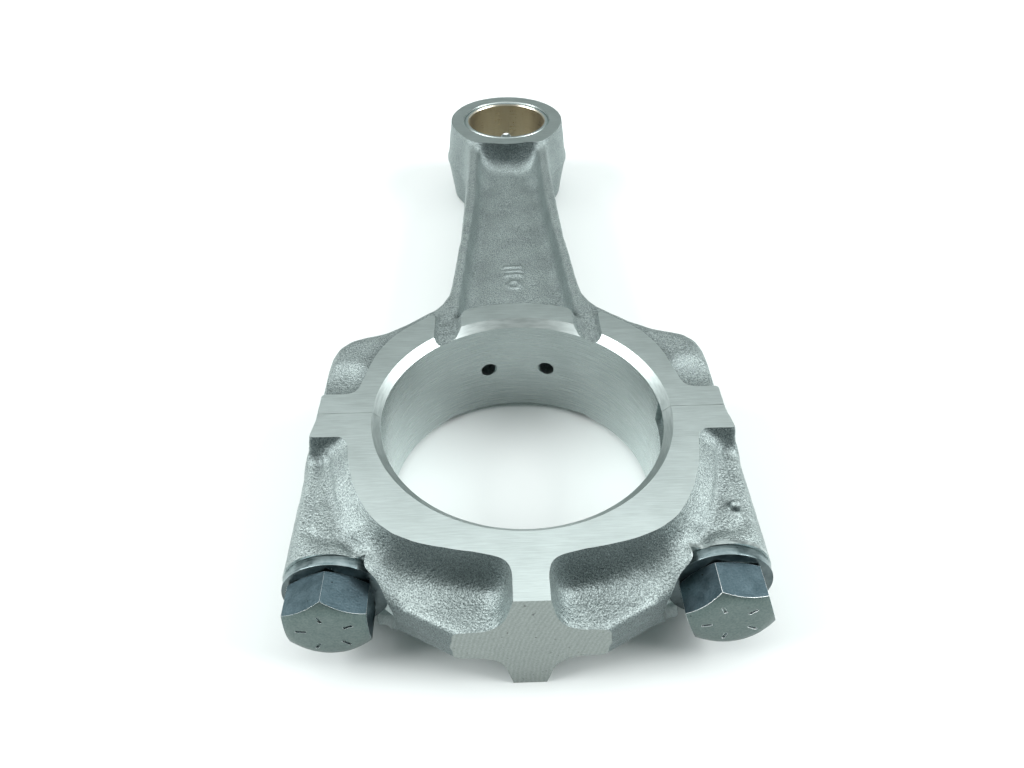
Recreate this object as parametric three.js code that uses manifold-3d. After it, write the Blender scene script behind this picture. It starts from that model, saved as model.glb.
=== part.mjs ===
// Connecting rod with a split big end: rod forging, bolted cap, bronze small-end bush,
// two hex bolts with thick washers, and two hollow dowels at the parting face.
// Millimetres, +Z up. The rod lies on the side faces of its big end, small end towards +Y.

import * as THREE from 'three';
import { mergeVertices } from 'three/addons/utils/BufferGeometryUtils.js';
import Module from 'manifold-3d';

// ---- driving dimensions ----------------------------------------------------
const CENTRES = 139.5; // big-end bore to small-end bore
const GAP = 0.25; // clearance kept between touching pieces

const BIG_WIDTH = 27; // over the machined side faces of the big end
const BIG_BORE_R = 28.35;
const BORE_CHAMFER = 1.65;
const RING_R = 36.1; // mean outer radius of the machined ring
const RING_SQUARENESS = 1.3; // how far the ring stands out at 45 degrees
const LAND_X = 41; // half width of the machined land at the parting face
const LAND_MID_X = 43.2; // the same at mid thickness, where the forging bulges
const ROD_LAND_Y = 5.7;
const CAP_LAND_Y = 6.4;

const SMALL_WIDTH = 25;
const SMALL_FACE_R = 18.3;
const SMALL_MID_R = 20;
const BUSH_OUTER_R = 14;
const BUSH_BORE_R = 12.5;
const BUSH_LENGTH = 24.6;
const CROWN_HOLE_R = 2;

const SHANK_DEPTH = 22.4; // over the flanges and the bolt shoulders, along the bores
const WEB_THICKNESS = 8.4;
const SHANK_ROOT_X = 16; // half width where the shank leaves the shoulders
const SHANK_ROOT_Y = 58;
const SHANK_TIP_X = 13; // half width where it meets the small end
const SHANK_TIP_Y = 126;
const FLANGE_WIDTH = 4.2;
const STRIP_X = 12.7; // half width of the machined strip at the shank root
const GROOVE_X = 18.7; // outer side of the forged groove beside the strip

const BOLT_X = 35.3;
const BOLT_SHANK_R = 4.55;
const BOLT_THREAD_R = 4.75;
const BOLT_LENGTH = 50;
const HEAD_FLATS = 14.5;
const HEAD_HEIGHT = 7;
const HEAD_TURN = { left: 0, right: 20 }; // degrees, how each tightened head stands
const LUG_R = 9.7;
const SEAT_Y = -31;
const WASHER_R = 9.5;
const WASHER_HOLE_R = 5.3;
const WASHER_THICKNESS = 2.1;
const BOLT_HOLE_R = 5.3;
const TAPPED_HOLE_R = 5.05;
const TAPPED_HOLE_DEPTH = 20;
const BOSS_HEIGHT = 23.5;
const DOWEL_R = 6;
const DOWEL_BORE_R = 5.3;
const DOWEL_LENGTH = 8;

const PAD_Y = -43.7; // machined pad at the far end of the cap
const PAD_WING_X = 13.5;
const PAD_WING_HEIGHT = 8.6;
const RIB_X = 2.9;

const OIL_HOLE_R = 1.75;
const OIL_HOLE_ANGLE = 14; // degrees from the rod's axis, where the hole opens in the bore
const OIL_HOLE_TILT = 27; // degrees from the rod's axis, direction of the drilling

const TANG_WIDTH = 6;
const TANG_DEPTH = 1.4;
const TANG_LENGTH = 6.5;
const TANG_Z = 6.5;

const ROUND = 64; // segments of a large circle
const SMALL_ROUND = 32;
const SIDES = { left: -1, right: 1 };

// ---- geometry helpers --------------------------------------------------------
const wasm = await Module();
wasm.setup();

function solid(geometry, matrix = new THREE.Matrix4()) {
  const plain = geometry.clone().applyMatrix4(matrix);
  plain.deleteAttribute('normal');
  plain.deleteAttribute('uv');
  const merged = mergeVertices(plain, 1e-4);
  return new wasm.Manifold(
    new wasm.Mesh({
      numProp: 3,
      vertProperties: new Float32Array(merged.attributes.position.array),
      triVerts: new Uint32Array(merged.index.array),
    }),
  );
}

function toGeometry(manifold) {
  const mesh = manifold.getMesh();
  const geometry = new THREE.BufferGeometry();
  geometry.setAttribute('position', new THREE.BufferAttribute(mesh.vertProperties, 3));
  geometry.setIndex(new THREE.BufferAttribute(mesh.triVerts, 1));
  geometry.computeVertexNormals();
  return geometry;
}

const move = (x, y, z) => new THREE.Matrix4().makeTranslation(x, y, z);
const radians = THREE.MathUtils.degToRad;

function plate(shape, low, high, curveSegments = 12) {
  const geometry = new THREE.ExtrudeGeometry(shape, {
    depth: high - low,
    bevelEnabled: false,
    curveSegments,
  });
  return solid(geometry, move(0, 0, low));
}

// A shape drawn in X and Z, extruded along Y from low to high.
function sectionAlongY(shape, low, high) {
  const geometry = new THREE.ExtrudeGeometry(shape, { depth: high - low, bevelEnabled: false });
  const turn = new THREE.Matrix4().makeRotationX(Math.PI / 2);
  return solid(geometry, move(0, high, 0).multiply(turn));
}

function box(low, high) {
  const size = high.map((value, axis) => value - low[axis]);
  const middle = high.map((value, axis) => (value + low[axis]) / 2);
  return solid(new THREE.BoxGeometry(...size), move(...middle));
}

// A solid of revolution about Z, from [radius, height] pairs that start and end on the axis.
function turned(profile, segments = ROUND) {
  const points = profile.map(([radius, height]) => new THREE.Vector2(radius, height));
  const upright = new THREE.Matrix4().makeRotationX(Math.PI / 2);
  return solid(new THREE.LatheGeometry(points, segments), upright);
}

// A solid of revolution about the line x, z along Y, from [radius, y] pairs.
function turnedAlongY(profile, x, segments = SMALL_ROUND) {
  const points = profile.map(([radius, y]) => new THREE.Vector2(radius, y));
  return solid(new THREE.LatheGeometry(points, segments), move(x, 0, 0));
}

function rodAlongY(x, radius, low, high, segments = SMALL_ROUND) {
  return turnedAlongY([[0, low], [radius, low], [radius, high], [0, high]], x, segments);
}

function polygon(points) {
  return new THREE.Shape(points.map(([x, y]) => new THREE.Vector2(x, y)));
}

const mirrored = (points) => [...points, ...points.map(([x, y]) => [-x, y]).reverse()];

// ---- shapes shared by the rod and the cap --------------------------------------
// Machined ring of the big end, cut at the parting face. side is 1 for the rod, -1 for the cap.
function ringHalf(side) {
  const points = [];
  const steps = 40;
  for (let i = 0; i <= steps; i += 1) {
    const angle = (Math.PI * i) / steps;
    const radius = RING_R - RING_SQUARENESS * Math.cos(4 * angle);
    const y = radius * Math.sin(angle);
    points.push([radius * Math.cos(angle), side * Math.max(y, GAP / 2)]);
  }
  return plate(polygon(side > 0 ? points : points.reverse()), -BIG_WIDTH / 2, BIG_WIDTH / 2);
}

// Block at the parting face, flat on both side faces and bulging at mid thickness.
function landBlock(low, high) {
  const half = BIG_WIDTH / 2;
  const section = polygon(
    mirrored([
      [LAND_X, -half],
      [LAND_X + 2, -half + 3.5],
      [LAND_MID_X, -3],
      [LAND_MID_X, 3],
      [LAND_X + 2, half - 3.5],
      [LAND_X, half],
    ]),
  );
  return sectionAlongY(section, low, high);
}

function bigEndBore() {
  const half = BIG_WIDTH / 2;
  const mouth = BIG_BORE_R + BORE_CHAMFER;
  return turned([
    [0, -half - 1],
    [mouth + 1, -half - 1],
    [BIG_BORE_R, -half + BORE_CHAMFER],
    [BIG_BORE_R, half - BORE_CHAMFER],
    [mouth + 1, half + 1],
    [0, half + 1],
  ]);
}

// Slot for the locating tang of a bearing shell, beside the parting face.
function tangSlot(side) {
  const depth = BIG_BORE_R + TANG_DEPTH;
  const low = [BIG_BORE_R - 2, side > 0 ? 0 : -TANG_LENGTH, TANG_Z - TANG_WIDTH / 2];
  const high = [depth, side > 0 ? TANG_LENGTH : 0, TANG_Z + TANG_WIDTH / 2];
  return box(low, high);
}

function dowelSeats() {
  const half = DOWEL_LENGTH / 2 + GAP;
  return Object.values(SIDES).map((side) => rodAlongY(side * BOLT_X, DOWEL_R + GAP, -half, half));
}

const cutAll = (body, cutters) => cutters.reduce((left, cutter) => left.subtract(cutter), body);
const joinAll = (pieces) => pieces.reduce((left, piece) => left.add(piece));

// ---- rod ---------------------------------------------------------------------
const shankHalfWidth = (y) => {
  const along = (y - SHANK_ROOT_Y) / (SHANK_TIP_Y - SHANK_ROOT_Y);
  return SHANK_ROOT_X + (SHANK_TIP_X - SHANK_ROOT_X) * along;
};

// Outline of the shank, its flare and the bolt shoulders, at mid thickness.
function forgingOutline() {
  const shape = new THREE.Shape();
  shape.moveTo(LAND_MID_X - 1, GAP / 2);
  shape.lineTo(LAND_MID_X - 2, 19);
  shape.quadraticCurveTo(LAND_MID_X - 3, 25.5, 35.5, 28);
  shape.lineTo(28.5, 31.5);
  shape.bezierCurveTo(20, 36, SHANK_ROOT_X + 1.2, 46, SHANK_ROOT_X, SHANK_ROOT_Y);
  shape.lineTo(SHANK_TIP_X, SHANK_TIP_Y);
  shape.lineTo(-SHANK_TIP_X, SHANK_TIP_Y);
  shape.lineTo(-SHANK_ROOT_X, SHANK_ROOT_Y);
  shape.bezierCurveTo(-SHANK_ROOT_X - 1.2, 46, -20, 36, -28.5, 31.5);
  shape.lineTo(-35.5, 28);
  shape.quadraticCurveTo(-LAND_MID_X + 3, 25.5, -LAND_MID_X + 2, 19);
  shape.lineTo(-LAND_MID_X + 1, GAP / 2);
  return shape;
}

// Recess between the flanges, on one side face.
function webPocket(side) {
  const low = 42;
  const high = CENTRES - SMALL_FACE_R - 2;
  const wide = shankHalfWidth(low) - FLANGE_WIDTH;
  const narrow = shankHalfWidth(high) - FLANGE_WIDTH;
  const corner = 5;
  const shape = new THREE.Shape();
  shape.moveTo(-wide + corner, low - corner);
  shape.lineTo(wide - corner, low - corner);
  shape.quadraticCurveTo(wide, low - corner, wide, low);
  shape.lineTo(narrow, high - corner);
  shape.quadraticCurveTo(narrow, high, narrow - corner, high);
  shape.lineTo(-narrow + corner, high);
  shape.quadraticCurveTo(-narrow, high, -narrow, high - corner);
  shape.lineTo(-wide, low);
  shape.quadraticCurveTo(-wide, low - corner, -wide + corner, low - corner);
  const floor = WEB_THICKNESS / 2;
  return side > 0 ? plate(shape, floor, BIG_WIDTH, 6) : plate(shape, -BIG_WIDTH, -floor, 6);
}

function boltBoss(side) {
  return turnedAlongY(
    [
      [0, GAP / 2],
      [LUG_R, GAP / 2],
      [LUG_R, BOSS_HEIGHT - 6],
      [LUG_R - 1.2, BOSS_HEIGHT - 3],
      [LUG_R - 4, BOSS_HEIGHT - 0.8],
      [0, BOSS_HEIGHT],
    ],
    side * BOLT_X,
  );
}

function rootGrooves() {
  const face = BIG_WIDTH / 2;
  const floor = SHANK_DEPTH / 2;
  const grooves = [];
  for (const side of [-1, 1]) {
    const [near, far] = side > 0 ? [STRIP_X, GROOVE_X] : [-GROOVE_X, -STRIP_X];
    grooves.push(box([near, 15, floor], [far, 45, face + 1]));
    grooves.push(box([near, 15, -face - 1], [far, 45, -floor]));
  }
  return grooves;
}

function smallEnd() {
  const half = SMALL_WIDTH / 2;
  const body = turned([
    [0, -half],
    [SMALL_FACE_R, -half],
    [SMALL_MID_R, -0.8],
    [SMALL_MID_R, 0.8],
    [SMALL_FACE_R, half],
    [0, half],
  ]);
  return body.translate([0, CENTRES, 0]);
}

function smallEndBore() {
  const half = SMALL_WIDTH / 2 + 1;
  const radius = BUSH_OUTER_R + GAP;
  return turned([[0, -half], [radius, -half], [radius, half], [0, half]]).translate([0, CENTRES, 0]);
}

function crownHole() {
  return rodAlongY(0, CROWN_HOLE_R, CENTRES + 8, CENTRES + SMALL_MID_R + 2, 16);
}

// Drilling from the big-end bore out through the root of a flange.
function oilHole(side) {
  const length = 60;
  const start = radians(OIL_HOLE_ANGLE);
  const drill = new THREE.CylinderGeometry(OIL_HOLE_R, OIL_HOLE_R, length, 16);
  const reach = length / 2 - 2;
  const tilt = radians(OIL_HOLE_TILT);
  const x = side * (BIG_BORE_R * Math.sin(start) + reach * Math.sin(tilt));
  const y = BIG_BORE_R * Math.cos(start) + reach * Math.cos(tilt);
  const turn = new THREE.Matrix4().makeRotationZ(-side * tilt);
  return solid(drill, move(x, y, 0).multiply(turn));
}

function rodSolid() {
  const depth = SHANK_DEPTH / 2;
  const forging = plate(forgingOutline(), -depth, depth);
  const shank = cutAll(forging, [webPocket(1), webPocket(-1)]);
  const bosses = Object.values(SIDES).map(boltBoss);
  const head = cutAll(joinAll([ringHalf(1), landBlock(GAP / 2, ROD_LAND_Y)]), rootGrooves());
  const body = joinAll([shank, head, smallEnd(), ...bosses]);
  const holes = Object.values(SIDES).map((side) =>
    rodAlongY(side * BOLT_X, TAPPED_HOLE_R, -1, TAPPED_HOLE_DEPTH, 24),
  );
  return cutAll(body, [
    bigEndBore(),
    smallEndBore(),
    crownHole(),
    tangSlot(1),
    oilHole(-1),
    oilHole(1),
    ...holes,
    ...dowelSeats(),
  ]);
}

// ---- cap -----------------------------------------------------------------------
function capWeb() {
  const outline = polygon([
    [-LAND_MID_X + 1.5, -GAP / 2],
    [-LAND_MID_X + 1.5, -20],
    [-27, -34],
    [-19, -39.5],
    [-PAD_WING_X, PAD_Y],
    [PAD_WING_X, PAD_Y],
    [19, -39.5],
    [27, -34],
    [LAND_MID_X - 1.5, -20],
    [LAND_MID_X - 1.5, -GAP / 2],
  ]);
  return plate(outline, -PAD_WING_HEIGHT / 2, PAD_WING_HEIGHT / 2);
}

// Rib from the ring out to the pad, on the full thickness of the big end, with drafted flanks.
function capRib() {
  const half = BIG_WIDTH / 2;
  const section = polygon(
    mirrored([
      [RIB_X - 0.3, -half],
      [RIB_X + 1.6, -PAD_WING_HEIGHT / 2],
      [RIB_X + 1.6, PAD_WING_HEIGHT / 2],
      [RIB_X - 0.3, half],
    ]),
  );
  return sectionAlongY(section, PAD_Y, -BIG_BORE_R - 2);
}

function capFillets() {
  const inner = RING_R - 1.5;
  const shape = polygon(
    mirrored([
      [7, -inner + 1],
      [RIB_X, -inner - 3.6],
    ]),
  );
  return plate(shape, -BIG_WIDTH / 2, BIG_WIDTH / 2);
}

function capLug(side) {
  const lug = rodAlongY(side * BOLT_X, LUG_R, SEAT_Y, -GAP / 2);
  const innerX = BOLT_X - LUG_R;
  const [near, far] = side > 0 ? [innerX, BOLT_X] : [-BOLT_X, -innerX];
  const gusset = box([near, SEAT_Y, -LUG_R + 2.6], [far, -GAP / 2, LUG_R - 2.6]);
  return lug.add(gusset);
}

// Spot face for the washer: everything round the bolt beyond the seat is cleared.
function spotFace(side) {
  return rodAlongY(side * BOLT_X, WASHER_R + 0.8, SEAT_Y - 20, SEAT_Y);
}

function capSolid() {
  const lugs = Object.values(SIDES).map(capLug);
  const body = joinAll([
    ringHalf(-1),
    landBlock(-CAP_LAND_Y, -GAP / 2),
    capWeb(),
    capRib(),
    capFillets(),
    ...lugs,
  ]);
  const holes = Object.values(SIDES).map((side) =>
    rodAlongY(side * BOLT_X, BOLT_HOLE_R, SEAT_Y - 1, 1),
  );
  return cutAll(body, [
    bigEndBore(),
    tangSlot(-1),
    ...Object.values(SIDES).map(spotFace),
    ...holes,
    ...dowelSeats(),
  ]);
}

// ---- small pieces ----------------------------------------------------------------
function bushSolid() {
  const half = BUSH_LENGTH / 2;
  const chamfer = 0.4;
  const outside = turned([[0, -half], [BUSH_OUTER_R, -half], [BUSH_OUTER_R, half], [0, half]]);
  const bore = turned([
    [0, -half - 1],
    [BUSH_BORE_R + chamfer + 1, -half - 1],
    [BUSH_BORE_R, -half + chamfer],
    [BUSH_BORE_R, half - chamfer],
    [BUSH_BORE_R + chamfer + 1, half + 1],
    [0, half + 1],
  ]);
  return outside.subtract(bore).translate([0, CENTRES, 0]).subtract(crownHole());
}

const WASHER_BACK_Y = SEAT_Y - GAP;
const HEAD_FACE_Y = WASHER_BACK_Y - WASHER_THICKNESS - GAP;

function washerSolid(side) {
  const front = WASHER_BACK_Y - WASHER_THICKNESS;
  const disc = rodAlongY(side * BOLT_X, WASHER_R, front, WASHER_BACK_Y, 40);
  return disc.subtract(rodAlongY(side * BOLT_X, WASHER_HOLE_R, front - 1, WASHER_BACK_Y + 1));
}

function boltSolid(side, turn) {
  const x = side * BOLT_X;
  const tip = HEAD_FACE_Y + BOLT_LENGTH;
  const end = HEAD_FACE_Y - HEAD_HEIGHT;
  const corner = HEAD_FLATS / Math.sqrt(3);
  const prism = new THREE.CylinderGeometry(corner, corner, HEAD_HEIGHT, 6);
  const middle = (HEAD_FACE_Y + end) / 2;
  const spin = new THREE.Matrix4().makeRotationY(radians(-turn));
  const hex = solid(prism, move(x, middle, 0).multiply(spin));
  const crown = turnedAlongY(
    [[0, end], [HEAD_FLATS / 2 - 0.3, end], [corner, end + 0.75], [corner, HEAD_FACE_Y], [0, HEAD_FACE_Y]],
    x,
    48,
  );
  const shank = turnedAlongY(
    [
      [0, HEAD_FACE_Y - 1],
      [BOLT_SHANK_R, HEAD_FACE_Y - 1],
      [BOLT_SHANK_R, -3],
      [BOLT_THREAD_R, -2],
      [BOLT_THREAD_R, tip - 1],
      [BOLT_THREAD_R - 1, tip],
      [0, tip],
    ],
    x,
    24,
  );
  return hex.intersect(crown).add(shank);
}

function dowelSolid(side) {
  const half = DOWEL_LENGTH / 2;
  const outside = rodAlongY(side * BOLT_X, DOWEL_R, -half, half);
  return outside.subtract(rodAlongY(side * BOLT_X, DOWEL_BORE_R, -half - 1, half + 1));
}

// ---- materials and assembly ----------------------------------------------------------
const forgedSteel = (color) =>
  new THREE.MeshStandardMaterial({ color, roughness: 0.55, metalness: 0.9 });
const bronze = () =>
  new THREE.MeshStandardMaterial({ color: 0xb59a6a, roughness: 0.3, metalness: 1 });
const darkSteel = () =>
  new THREE.MeshStandardMaterial({ color: 0x5e6b74, roughness: 0.45, metalness: 0.9 });

function piece(name, manifold, material) {
  const mesh = new THREE.Mesh(toGeometry(manifold), material);
  mesh.name = name;
  return mesh;
}

const assembly = new THREE.Group();
assembly.add(piece('rod', rodSolid(), forgedSteel(0x8f9a98)));
assembly.add(piece('cap', capSolid(), forgedSteel(0x97a19f)));
assembly.add(piece('small_end_bush', bushSolid(), bronze()));
for (const [name, side] of Object.entries(SIDES)) {
  assembly.add(piece(`bolt_${name}`, boltSolid(side, HEAD_TURN[name]), darkSteel()));
  assembly.add(piece(`washer_${name}`, washerSolid(side), darkSteel()));
  assembly.add(piece(`dowel_${name}`, dowelSolid(side), forgedSteel(0xa0a6a6)));
}

// The origin is under the middle of the whole part, on the plane it lies on.
const farEndY = CENTRES + SMALL_MID_R;
assembly.position.set(0, -(farEndY + PAD_Y) / 2, BIG_WIDTH / 2);

const group = new THREE.Group();
group.add(assembly);
export default group;
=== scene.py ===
"""Looks of a forged connecting rod: rod, bolted cap, bush, bolts, washers and dowels.

Shapes are worked out in millimetres about the centre of the big-end bore (x across, y towards the
small end, z up from mid thickness) and then placed in the frame in metres.
"""
import itertools
import math

import bmesh
import bpy
import numpy as np
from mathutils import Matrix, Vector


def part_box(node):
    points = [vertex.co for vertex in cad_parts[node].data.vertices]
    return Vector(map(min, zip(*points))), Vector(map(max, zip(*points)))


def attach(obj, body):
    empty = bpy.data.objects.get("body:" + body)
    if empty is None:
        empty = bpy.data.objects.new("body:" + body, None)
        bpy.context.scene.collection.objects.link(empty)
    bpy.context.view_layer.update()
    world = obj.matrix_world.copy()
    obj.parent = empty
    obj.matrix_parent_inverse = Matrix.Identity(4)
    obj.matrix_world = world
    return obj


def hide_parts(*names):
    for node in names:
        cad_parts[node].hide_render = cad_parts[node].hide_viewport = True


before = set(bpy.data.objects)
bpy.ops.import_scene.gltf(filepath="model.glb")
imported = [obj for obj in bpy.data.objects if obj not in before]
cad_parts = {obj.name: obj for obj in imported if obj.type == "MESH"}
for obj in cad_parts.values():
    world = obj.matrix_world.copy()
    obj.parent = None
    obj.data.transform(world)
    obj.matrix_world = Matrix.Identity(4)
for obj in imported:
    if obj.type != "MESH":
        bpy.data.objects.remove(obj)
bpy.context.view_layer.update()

import openvdb
from mathutils import Matrix, Vector

MM = 0.001


# ---- where things are ------------------------------------------------------------------
def box_mm(node):
    low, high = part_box(node)
    return np.array(low) / MM, np.array(high) / MM


rod_low, rod_high = box_mm("rod")
cap_high = box_mm("cap")[1]
bush_low, bush_high = box_mm("small_end_bush")
bolt_high = box_mm("bolt_right")[1]
washer_low, washer_high = box_mm("washer_right")
dowel_low, dowel_high = box_mm("dowel_right")

# Centre of the big-end bore in the frame: on the parting face, at mid thickness.
ORIGIN = np.array([
    (rod_low[0] + rod_high[0]) / 2,
    (rod_low[1] + cap_high[1]) / 2,
    (rod_low[2] + rod_high[2]) / 2,
])
CENTRES = (bush_low[1] + bush_high[1]) / 2 - ORIGIN[1]  # bore to bore
HALF = (rod_high[2] - rod_low[2]) / 2                   # half width of the big end
SMALL_HALF = 12.5                                       # half width of the small end
BIG_BORE_R = 28.35
BORE_CHAMFER = 1.65
BUSH_OUTER_R = 14.0
BUSH_BORE_R = 12.5
BUSH_HALF = (bush_high[2] - bush_low[2]) / 2

BOLT_X = (washer_low[0] + washer_high[0]) / 2 - ORIGIN[0]
BOLT_TIP = bolt_high[1] - ORIGIN[1]
THREAD_PITCH = 1.25
SHANK_R = 4.9
CLEARANCE_R = 5.3                                # bolt hole in the cap
SEAT_Y = washer_high[1] - ORIGIN[1] + 0.19       # seat of the washer on the cap
SPOT_FACE_R = 10.0
SPOT_FACE_WIDE_R = 11.5
WASHER_R = 9.55
WASHER_BORE_R = 5.5
HEAD_BEARING_Y = SEAT_Y - 2.1
HEAD_END_Y = HEAD_BEARING_Y - 7.45
HEAD_FLAT = 7.25                                 # half the width across the flats
DOWEL_R = 5.98
DOWEL_HALF = (dowel_high[1] - dowel_low[1]) / 2
DOWEL_SEAT_DEPTH = 4.1
PAD_Y = -43.7                                    # milled end of the cap
OIL_HOLE_R = 1.75
PIN_OIL_HOLE_R = 2.0

DRAFT = math.tan(math.radians(7))
ROD_WEB = 4.2   # half thickness of the web between the flanges
CAP_WEB = 4.3
FORGED, GROUND, BORE, MILLED, DRILLED, CHAMFER = range(6)
# The second finish of the small parts is their edge finish: wear with a painted highlight.
WORN_HIGHLIGHT = 1        # second finish of the small parts
SIDES = (-1, 1)

# Half outlines for x > 0, from the big end outwards.
ROD_OUTLINE = [
    (42.0, -3), (42.0, 17), (41.8, 21.0), (40.8, 24.4), (38.3, 27.1), (34.8, 28.4),
    (31.2, 29.6), (26.4, 32.0), (22.8, 34.4), (19.7, 37.1), (17.9, 39.5), (16.5, 43.3),
    (15.8, 48), (15.3, 54), (14.8, 61), (14.0, 70), (13.3, 87), (12.7, 107),
    (12.5, 118), (12.5, 132),
]
ROD_RECESS = [
    (13.2, 28), (12.7, 40), (12.1, 50), (11.4, 60), (10.4, 74), (9.2, 90), (8.8, 110),
    (8.8, 118), (9.0, 128),
]
CAP_OUTLINE = [
    (40.0, 3), (40.0, -25), (34.0, -31.6), (26.4, -36.6), (22.2, -38.9), (18.2, -41.1),
    (14.2, -43.3), (12.2, -44.5), (8, -45.2),
]
# Outer radius of the ground ring at each angle in degrees from the parting face.
ROD_RING = [
    (0, 34.3), (14, 34.3), (21, 34.6), (27, 35.4), (34, 36.2), (40, 36.7), (44, 36.8),
    (52, 36.9), (58, 37.2), (90, 37.5),
]
CAP_RING = [
    (0, 34.2), (14, 34.3), (21, 34.9), (27, 35.5), (34, 36.3), (42, 37.1), (47, 37.4),
    (52, 37.3), (59, 36.5), (66, 35.5), (74, 34.7), (90, 34.5),
]


# ---- distance fields -------------------------------------------------------------------
def soft_min(a, b, k):
    """The lesser of two fields, blended where they differ by less than k."""
    h = np.clip(0.5 + 0.5 * (b - a) / k, 0, 1)
    return b + (a - b) * h - k * h * (1 - h)


def soft_max(a, b, k):
    """The greater of two fields, blended where they differ by less than k."""
    return -soft_min(-a, -b, k)


def outline_distance(x, y, points):
    """Signed distance to a closed outline in the plane, negative inside."""
    nearest = np.full(np.broadcast(x, y).shape, 1e9, np.float32)
    inside = np.zeros(nearest.shape, bool)
    for (ax, ay), (bx, by) in zip(points, points[1:] + points[:1]):
        ex, ey = bx - ax, by - ay
        along = np.clip(((x - ax) * ex + (y - ay) * ey) / (ex * ex + ey * ey), 0, 1)
        nearest = np.minimum(nearest, np.hypot(x - ax - along * ex, y - ay - along * ey))
        if ay != by:
            crosses = (y < ay) != (y < by)
            inside ^= crosses & (x < ax + (y - ay) / (by - ay) * ex)
    return np.where(inside, -nearest, nearest).astype(np.float32)


def lattice_noise(shape, step, cell, seed):
    """Smooth random values from -1 to 1 over a grid, cell millimetres apart."""
    rng = np.random.default_rng(seed)
    values = rng.uniform(-1, 1, [int(n * step / cell) + 3 for n in shape]).astype(np.float32)
    for axis, count in enumerate(shape):
        at = np.arange(count) * step / cell
        low = at.astype(int)
        part = at - low
        part = (part * part * (3 - 2 * part)).astype(np.float32)
        part = part.reshape([count if a == axis else 1 for a in range(3)])
        values = np.take(values, low, axis) * (1 - part) + np.take(values, low + 1, axis) * part
    return values


def mirror_x(points):
    """Closes an outline given for x > 0 by going far past the middle, as x is taken as |x|."""
    return [(-60, points[0][1])] + points + [(-60, points[-1][1])]


def side_bulge(z, base, depth):
    """Half width of a side that stands out at mid thickness."""
    return base + depth * np.sqrt(np.clip(1 - (z / HALF) ** 2, 0, 1))


def polar(x, y, table):
    """Radius, and the value of a table of (degrees, value) at each point's angle."""
    degrees, values = zip(*table)
    return np.hypot(x, y), np.interp(np.degrees(np.arctan2(y, x)), degrees, values)


def rod_skin(x, y, z):
    """Flanges, web and bolt shoulders, without the small end or any machined face."""
    sides = outline_distance(x, y, mirror_x(ROD_OUTLINE)) + (z - 8.5) * DRAFT
    shoulder = np.clip((46 - y) / 12, 0, 1)
    top = z - (11.3 + 0.25 * shoulder)
    body = soft_max(sides, top, 1.5 + 2.2 * shoulder * np.clip((x - 22) / 8, 0, 1))

    walls = outline_distance(x, y, mirror_x(ROD_RECESS)) - (z - ROD_WEB) * DRAFT
    fillet = 3.4 + 4.0 * np.clip((y - 104) / 14, 0, 1)
    body = soft_max(body, -soft_max(walls, ROD_WEB - z, fillet), 1.3)

    hollow = np.sqrt((x - 38.0) ** 2 + ((y - 12.0) * 1.15) ** 2 + (z - 24.6) ** 2) - 14.6
    return soft_max(body, -hollow, 0.6)


def cropped(body, z, past_parting, flash):
    """Adds the flash line round mid thickness, and leaves a little to machine off the faces."""
    body = body - flash * np.exp(-(z / 0.9) ** 2)
    return np.maximum(np.maximum(body, z - HALF - 0.8), past_parting - 0.9)


def rod_field(x, y, z):
    radius, ring_r = polar(x, y, ROD_RING)
    fall = HALF - z
    ring = soft_max(radius - ring_r - fall * DRAFT, 18.7 - x - fall * 0.5, 1.2)
    land = soft_max(y - 5.6 - fall * 0.2, x - side_bulge(z, 40.7, 1.2), 0.5)
    strip = soft_max(radius - 35.5 - fall * DRAFT, x - 12.7 - fall * 0.7, 1.8)
    boss = np.hypot(x, y - CENTRES) - (20 - z * 0.136)

    body = soft_min(rod_skin(x, y, z), soft_min(ring, land, 2.6), 1.5)
    body = soft_min(body, strip, 1.2)
    body = soft_min(body, boss, 5.0)
    return cropped(body, z, -y, 0.25)


def cap_web(x, y, z):
    """The web, thicker towards the lugs and most of all beside each spot face."""
    rise = 0.45 * np.clip((x - 11) / 13, 0, 1) * np.clip(y + 38.5, 0, 12)
    rise = rise + 2.6 * np.exp(-((x - 28.5) / 3.2) ** 2 - ((y + 33.5) / 3.4) ** 2)
    return soft_max(outline_distance(x, y, mirror_x(CAP_OUTLINE)), z - (CAP_WEB + rise), 1.2)


def cap_rib(x, y, z):
    """The rib from the ring to the milled pad, wider at its foot."""
    flare = 0.10 + 0.12 * np.clip((-y - 37) / 5, 0, 1)
    return soft_max(x - 3.05 - (HALF - z) * flare, -y - 45.5, 1.0)


def bolt_lug(x, y, z):
    """Narrow and square under the land, wide and round at the bolt's seat."""
    turn = np.clip((-y - 8) / 22, 0, 1)
    centre, rx, rz = 39.1 - 3.9 * turn, 4.6 + 4.6 * turn, 9.0 + 0.8 * turn
    square = 2.8 - 0.6 * turn
    lug = (np.abs((x - centre) / rx) ** square + np.abs(z / rz) ** square) ** (1 / square)
    return soft_max((lug - 1) * (rx + rz) / 2, -y - 34, 0.5)


def cap_field(x, y, z):
    radius, ring_r = polar(x, -y, CAP_RING)
    fall = HALF - z
    slope = polar(x, -y, [(25, 1.0), (60, 0.12)])[1]
    ring = radius - ring_r - np.minimum(fall * slope, 2.5 + 0.1 * fall)
    body = soft_min(ring, cap_web(x, y, z), 4.2)
    body = soft_min(body, cap_rib(x, y, z), 5.0)

    lug = bolt_lug(x, y, z)
    groove = 0.75 * np.exp(-((body - lug) / 1.1) ** 2) * np.clip((36 + y) / 8, 0, 1)
    body = soft_min(body, lug, 0.9) + groove

    land = soft_max(-y - 6.4 - fall * 0.2, x - side_bulge(z, 40.6, 0.9) + 0.14 * y, 0.5)
    body = soft_min(body, soft_min(land, ring, 2.4), 2.2)
    return cropped(body, z, y, 0.22)


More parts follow.
